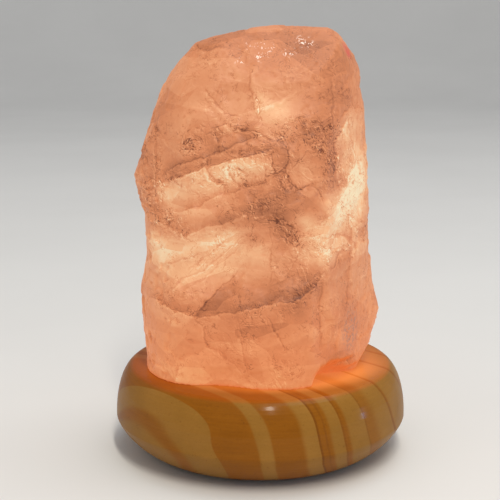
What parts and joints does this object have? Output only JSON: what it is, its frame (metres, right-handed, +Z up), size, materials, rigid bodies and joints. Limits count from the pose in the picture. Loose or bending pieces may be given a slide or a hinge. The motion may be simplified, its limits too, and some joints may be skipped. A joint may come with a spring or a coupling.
{
  "type": "table lamp",
  "caption": "Table lamp: a rough block of glowing rose quartz stands over a small screw-in bulb on a round varnished pine base with rubber feet.",
  "frame": {"origin": "centre of the base, on the surface that the rubber feet stand on", "axes": "+Z up, -Y towards the front that the picture shows, +Y out of the cord inlet at the back"},
  "size_m": [0.134, 0.1337, 0.194],
  "materials": {
    "pine": "gloss",
    "foot_rubber": "matte",
    "fibre_board": "matte",
    "black_rubber": "matte",
    "screw_brass": "satin",
    "tube_brass": "satin",
    "zinc_steel": "satin",
    "holder_plastic": "satin",
    "white_ceramic": "matte",
    "socket_brass": "satin",
    "contact_bronze": "satin",
    "solder": "satin",
    "black_glass": "gloss",
    "nickelled_brass": "satin",
    "stem_glass": "gloss",
    "wire_metal": "satin",
    "bulb_glass": "gloss",
    "lit_filament": "satin",
    "rose_quartz": "satin"
  },
  "bodies": {
    "base": {"wood_base": "pine", "foot_front_right": "foot_rubber", "foot_back_right": "foot_rubber", "foot_back_left": "foot_rubber", "foot_front_left": "foot_rubber", "bottom_cover": "fibre_board", "cover_screws": "screw_brass", "cord_bushing": "black_rubber", "threaded_tube": "tube_brass", "tube_nut": "tube_brass", "nut_washer": "zinc_steel", "seat_washer": "zinc_steel", "holder_cap": "holder_plastic", "locking_screw": "zinc_steel", "ceramic_insert": "white_ceramic", "holder_shell": "holder_plastic", "screw_socket": "socket_brass", "centre_contact": "contact_bronze", "side_contact": "contact_bronze", "contact_rivet": "tube_brass", "terminal_screws": "screw_brass"},
    "bulb_end": {"bulb_end_contact": "solder", "bulb_insulator": "black_glass"},
    "bulb": {"bulb_screw_cap": "nickelled_brass", "bulb_glass": "bulb_glass", "bulb_stem": "stem_glass", "lead_wires": "wire_metal", "filament": "lit_filament", "filament_supports": "wire_metal"},
    "stone": {"rose_quartz_stone": "rose_quartz"}
  },
  "joints": [
    {"name": "stone_lift", "type": "slide", "parent": "base", "child": "stone", "axis": [0, 0, 1], "range_m": [0, 0.1]},
    {"name": "bulb_rise", "type": "slide", "parent": "base", "child": "bulb_end", "axis": [0, 0, 1], "range_m": [0, 0.00988]},
    {"name": "bulb_turn", "type": "hinge", "parent": "bulb_end", "child": "bulb", "pos_m": [0, 0, 0.0637], "axis": [0, 0, 1], "range_deg": [0, 1261]}
  ],
  "couplings": [
    {"joint": "bulb_turn", "follows": "bulb_rise", "rad_per_m": 2226.5}
  ]
}
